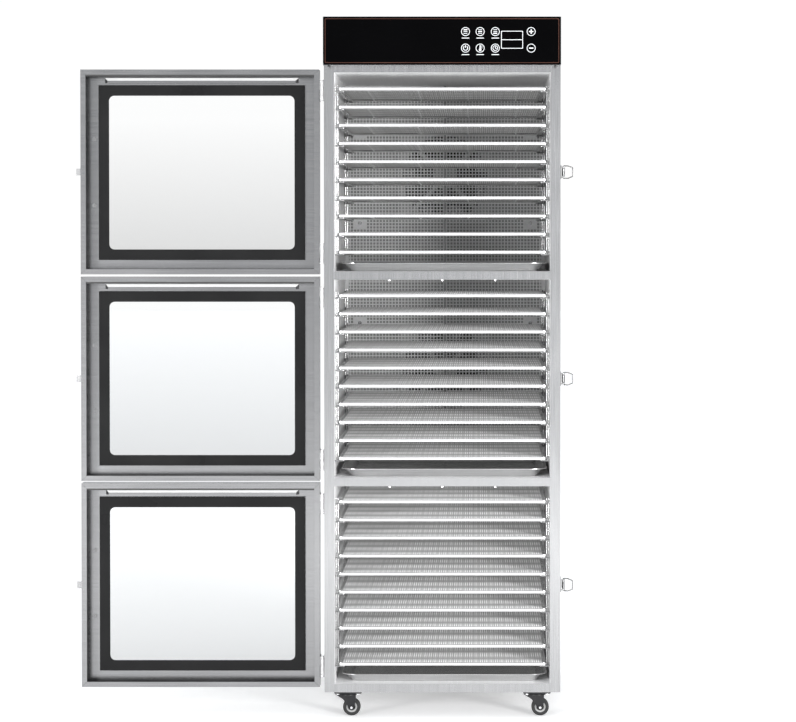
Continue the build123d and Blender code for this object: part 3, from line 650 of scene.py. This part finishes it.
def guard_clip(shape, x, y, z):
    """Square plate with a hexagonal nut in its middle."""
    outer = rounded_loop((x, z), clip_half, clip_half, clip_corner, 3)
    inner = circle_loop((x, z), clip_bolt, len(outer))
    inner = inner[3:] + inner[:3]
    shape.flat_ring(outer, inner, y, clip_sheet, 1)
    shape.rod((x, y - clip_nut_front, z), (x, y + clip_nut_back, z), clip_nut, 6, 2)


# ---------------------------------------------------------------- places in the cabinet
def zone_middle(zone):
    low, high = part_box(f"door_{zone}_panel")
    return (low.z + high.z) / 2


guard_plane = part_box("fan_frames")[0].y - guard_to_fan_frame
zone_half_height = (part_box("baffle_panels")[1].z - zone_middle("upper")) - 1 * mm


# ---------------------------------------------------------------- doors
def border_loops(glass_low, glass_high):
    centre = ((glass_low.x + glass_high.x) / 2, (glass_low.z + glass_high.z) / 2)
    half = ((glass_high.x - glass_low.x) / 2, (glass_high.z - glass_low.z) / 2)
    outer = rounded_loop(centre, half[0] - border_edge, half[1] - border_edge, border_corner)
    inner = rounded_loop(centre, half[0] - border_width, half[1] - border_width, window_corner)
    return outer, inner


def build_door_borders():
    """Black band printed round each window."""
    for zone in zones:
        glass_low, glass_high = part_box(f"door_{zone}_glass")
        shape = Shape()
        outer, inner = border_loops(glass_low, glass_high)
        shape.flat_ring(outer, inner, glass_low.y - print_thickness, print_thickness * 0.9)
        make_piece(f"door_{zone}_border", shape, [border_black], f"door_{zone}")


def build_door_seams():
    """Mitre lines at the rim's corners, and a painted shadow: a dark strip in the hem along the rim's
    top.
    """
    for zone in zones:
        low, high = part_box(f"door_{zone}_panel")
        shape = Shape()
        y = low.y + mitre_depth
        for x, sx in ((low.x, 1), (high.x, -1)):
            for z, sz in ((low.z, 1), (high.z, -1)):
                start = (x + sx * mitre_start, y, z + sz * mitre_start)
                end = (x + sx * mitre_end, y, z + sz * mitre_end)
                shape.rod(start, end, mitre_radius)
        # painted shadow: dark strip under the rim's top
        shape.block(
            (low.x + hem_inset, low.y + hem_front, high.z - hem_bottom),
            (high.x - hem_inset, low.y + hem_back, high.z - hem_top),
        )
        make_piece(f"door_{zone}_mitres_and_hem_shadow", shape, [seam_dark], f"door_{zone}")


# ---------------------------------------------------------------- control panel
def panel_plate(shape, low, high):
    """Black glass with softened edges, its face set back by the thickness of the print."""
    centre = ((low.x + high.x) / 2, (low.z + high.z) / 2)
    half = ((high.x - low.x) / 2, (high.z - low.z) / 2)
    face = low.y + print_thickness
    levels = [(0.0, high.y), (0.0, face + 0.8 * mm), (0.3 * mm, face + 0.2 * mm), (0.9 * mm, face)]
    rings = []
    for inset, y in levels:
        loop = rounded_loop(centre, half[0] - inset, half[1] - inset, 2.2 * mm - inset, 4)
        rings.append([(x, y, z) for x, z in loop])
    shape.loft(rings, 0, caps=True)


def build_control_panel():
    low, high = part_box("control_glass")
    shape = PrintShape(low.y)
    panel_plate(shape, low, high)
    centre = ((low.x + high.x) / 2, (low.z + high.z) / 2)
    half = ((high.x - low.x) / 2, (high.z - low.z) / 2)
    line = [
        rounded_loop(centre, half[0] - d, half[1] - d, copper_corner, 2) for d in copper_insets
    ]
    shape.band(*line, 1)
    rows = [high.z - drop for drop in panel_rows]
    glyphs = [[zone_glyph(k) for k in range(3)], [power_glyph, thermometer_glyph, clock_glyph]]
    for z, marks in zip(rows, glyphs):
        for x, mark in zip(panel_columns, marks):
            shape.circle(x, z, icon_ring, icon_line)
            mark(shape, x, z)
            shape.bar(x, z - caption_drop, *caption_half)
    for z, is_plus in zip(rows, (True, False)):
        shape.circle(panel_last_column, z, icon_ring, icon_line)
        shape.bar(panel_last_column, z, sign_long, sign_short)
        if is_plus:
            shape.bar(panel_last_column, z, sign_short, sign_long)
    top, bottom = high.z - display_top, high.z - display_bottom
    centre, half_z = (display_x, (top + bottom) / 2), (top - bottom) / 2
    loops = [
        rounded_loop(centre, display_half_x - d, half_z - d, display_corner, 2) for d in (0, icon_line)
    ]
    shape.band(*loops)
    shape.bar(*centre, display_half_x, display_divider)
    materials = [panel_black, copper_line, icon_light]
    make_piece(
        "control_panel_glass", shape, materials, "cabinet", ["control_glass"]
    )


class PrintShape(Shape):
    """A shape whose flat marks lie on the front of the panel, a print's thickness deep."""

    def __init__(self, face):
        super().__init__()
        self.face = face
        self.back = face + print_thickness * 0.98  # just clear of the glass

    def band(self, outer, inner, slot=2):
        self.flat_ring(outer, inner, self.face, print_thickness * 0.98, slot)

    def circle(self, x, z, radius, width, slot=2):
        self.band(circle_loop((x, z), radius), circle_loop((x, z), radius - width), slot)

    def bar(self, x, z, half_x, half_z, slot=2):
        loop = rounded_loop((x, z), half_x, half_z, min(half_x, half_z) * 0.5, 2)
        rings = [[(a, y, b) for a, b in loop] for y in (self.face, self.back)]
        self.loft(rings, slot, caps=True)

    def stroke(self, start, end, half_width, slot=2):
        """A straight mark between two (x, z) places."""
        a, b = Vector((start[0], 0, start[1])), Vector((end[0], 0, end[1]))
        across = (b - a).normalized().cross(Vector((0, 1, 0))) * half_width
        corners = [a + across, b + across, b - across, a - across]
        rings = [[(p.x, y, p.z) for p in corners] for y in (self.face, self.back)]
        self.loft(rings, slot, caps=True)


def zone_glyph(number):
    """Three stacked trays, the chosen one drawn bold."""

    def draw(shape, x, z):
        for k in range(3):
            half = 0.95 * mm if k == number else 0.45 * mm
            shape.bar(x, z + (1 - k) * 3.4 * mm, 3.6 * mm, half)

    return draw


def power_glyph(shape, x, z):
    """An open ring with a short bar in its gap."""
    steps, radius = 16, 4.2 * mm
    turns = [math.radians(125 + 290 * k / steps) for k in range(steps + 1)]
    places = [(x + radius * math.cos(t), z + radius * math.sin(t)) for t in turns]
    for start, end in zip(places, places[1:]):
        shape.stroke(start, end, 0.6 * mm)
    shape.bar(x, z + 3.2 * mm, 0.6 * mm, 2.6 * mm)


def thermometer_glyph(shape, x, z):
    shape.bar(x, z + 1.6 * mm, 0.9 * mm, 4.2 * mm)
    shape.circle(x, z - 3.2 * mm, 2.4 * mm, 2.3 * mm)
    for up in (0, 2, 4):
        shape.bar(x + 3 * mm, z + up * mm, 1.1 * mm, 0.4 * mm)


def clock_glyph(shape, x, z):
    shape.circle(x, z, 5 * mm, 0.9 * mm)
    shape.stroke((x, z), (x, z + 3.4 * mm), 0.5 * mm)
    shape.stroke((x, z), (x + 2.4 * mm, z - 1.2 * mm), 0.5 * mm)


# ---------------------------------------------------------------- casters
def build_hub_rings():
    """Light grey ring in the dish on both sides of each wheel."""
    for node in [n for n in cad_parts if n.startswith("caster_wheel_")]:
        low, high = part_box(node)
        x, z = (low.x + high.x) / 2, (low.z + high.z) / 2
        shape = Shape()
        for y, outward in ((low.y + hub_depth, -1), (high.y - hub_depth, 1)):
            rings = [
                [(px, y + outward * up * mm, pz) for px, pz in circle_loop((x, z), radius * mm, 40)]
                for radius, up in hub_profile
            ]
            shape.loft(rings, 0, closed=True)
        make_piece(f"{node}_hub_rings", shape, [hub_grey], node)


def build_axle_caps():
    """Bright heads over the axle bolt on both sides of each fork."""
    for node in [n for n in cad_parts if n.startswith("caster_wheel_")]:
        low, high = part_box(node)
        fork = node.replace("wheel", "fork")
        fork_low, fork_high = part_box(fork)
        x, z = (low.x + high.x) / 2, (low.z + high.z) / 2
        front, back = fork_low.y, fork_high.y
        shape = Shape()
        shape.rod((x, front - axle_cap_proud, z), (x, front + axle_cap_deep, z), axle_cap, 6)
        shape.rod((x, back - axle_cap_deep, z), (x, back + axle_cap_proud, z), axle_cap, 6)
        make_piece(f"{fork}_axle_caps", shape, [screw_steel], fork)


def build_caster_nuts():
    """Bright caps over the four nuts under each caster plate."""
    low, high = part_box("caster_plates")
    top = high.z - plate_sheet
    offsets = [(dx, dy) for dx in (-nut_reach, nut_reach) for dy in (-nut_reach, nut_reach)]
    shape = Shape()
    for x in (low.x + plate_half, high.x - plate_half):
        for y in (low.y + plate_half, high.y - plate_half):
            for dx, dy in offsets:
                shape.rod((x + dx, y + dy, top - nut_tall), (x + dx, y + dy, top), nut_cap, 6)
    make_piece("caster_nut_caps", shape, [screw_steel], "cabinet")


# ---------------------------------------------------------------- studio
floor_reach = 30
floor_glow = 0.28
seen_white = 1.02  # the backdrop as the camera sees it
lamps = (  # name, place, aim, width and height, power in watts
    ("left_box", (-3.6, -4.5, 0.95), (0, 0, 0.75), (1.0, 1.0), 115),
    ("right_box", (2.7, -4.3, 0.95), (0, 0, 0.7), (1.0, 1.0), 210),
    ("low_box", (0.0, -2.3, 0.06), (0, 0, 1.0), (1.0, 0.25), 1.0),
    ("low_corner_0", (-2.3, -2.9, 0.12), (0, 0, 1.0), (0.6, 0.4), 60),
    ("low_corner_2", (2.3, -2.9, 0.12), (0, 0, 1.0), (0.6, 0.4), 60),
)
camera_lens = 115.07
camera_shift = (-0.10063, -0.09)
camera_x, camera_distance, camera_height = 0.0691, 4.9054, 0.9149
camera_dip = 1.011  # degrees below the horizon


def area_light(name, place, aim, size, power):
    light = bpy.data.lights.new(name, "AREA")
    light.shape = "RECTANGLE"
    light.size, light.size_y = size
    light.energy = power
    lamp = bpy.data.objects.new(name, light)
    bpy.context.scene.collection.objects.link(lamp)
    lamp.location = place
    lamp.rotation_euler = (Vector(aim) - Vector(place)).to_track_quat("-Z", "Y").to_euler()


def build_floor():
    mesh = bpy.data.meshes.new("floor")
    signs = ((-1, -1), (1, -1), (1, 1), (-1, 1))
    corners = [(sx * floor_reach, sy * floor_reach, 0) for sx, sy in signs]
    mesh.from_pydata(corners, [], [(0, 1, 2, 3)])
    floor = bpy.data.objects.new("floor", mesh)
    bpy.context.scene.collection.objects.link(floor)
    material, tree, shader = new_material("pale_floor")
    pits = place_group(tree, pits_group, Scale=40.0)
    tone = blend_colours(tree, pits.outputs["Clouds"], (0.92, 0.92, 0.92), (0.94, 0.94, 0.94))
    feed_all(tree, shader, Base_Color=tone, Roughness=0.9)
    give_glow(material, floor_glow)
    mesh.materials.append(material)


def build_world():
    """White behind the object and through its windows, a slightly dimmer sky for everything else."""
    world = bpy.data.worlds.new("studio")
    bpy.context.scene.world = world
    world.use_nodes = True
    tree = world.node_tree
    seen = feed_all(tree, tree.nodes["Background"], Color=(1, 1, 1), Strength=seen_white)
    around = tree.nodes.new("ShaderNodeBackground")
    feed_all(tree, around, Color=(0.96, 0.98, 1.0), Strength=0.85)
    ray = tree.nodes.new("ShaderNodeLightPath").outputs
    mix = tree.nodes.new("ShaderNodeMixShader")
    straight = maths(tree, "MAXIMUM", ray["Is Camera Ray"], ray["Is Transmission Ray"])
    for index, value in enumerate((straight, around.outputs[0], seen.outputs[0])):
        feed(tree, mix.inputs[index], value)
    feed_all(tree, tree.nodes["World Output"], Surface=mix.outputs[0])


def build_lights():
    for lamp in lamps:
        area_light(*lamp)


def build_camera():
    camera = bpy.data.cameras.new("camera")
    camera.lens = camera_lens
    camera.sensor_width = 36
    camera.shift_x, camera.shift_y = camera_shift
    camera.clip_end = 100
    eye = bpy.data.objects.new("camera", camera)
    bpy.context.scene.collection.objects.link(eye)
    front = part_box("cabinet_shell")[0].y
    eye.location = (camera_x, front - camera_distance, camera_height)
    eye.rotation_euler = (math.radians(90 - camera_dip), 0, 0)
    bpy.context.scene.camera = eye


# ---------------------------------------------------------------- making the scene
build_camera()
dress_cad_nodes()
build_trays()
build_guards()
build_door_borders()
build_door_seams()
build_control_panel()
build_hub_rings()
build_axle_caps()
build_caster_nuts()
build_vent_pads()
build_floor()
build_world()
build_lights()
bpy.context.scene.view_settings.view_transform = "Standard"
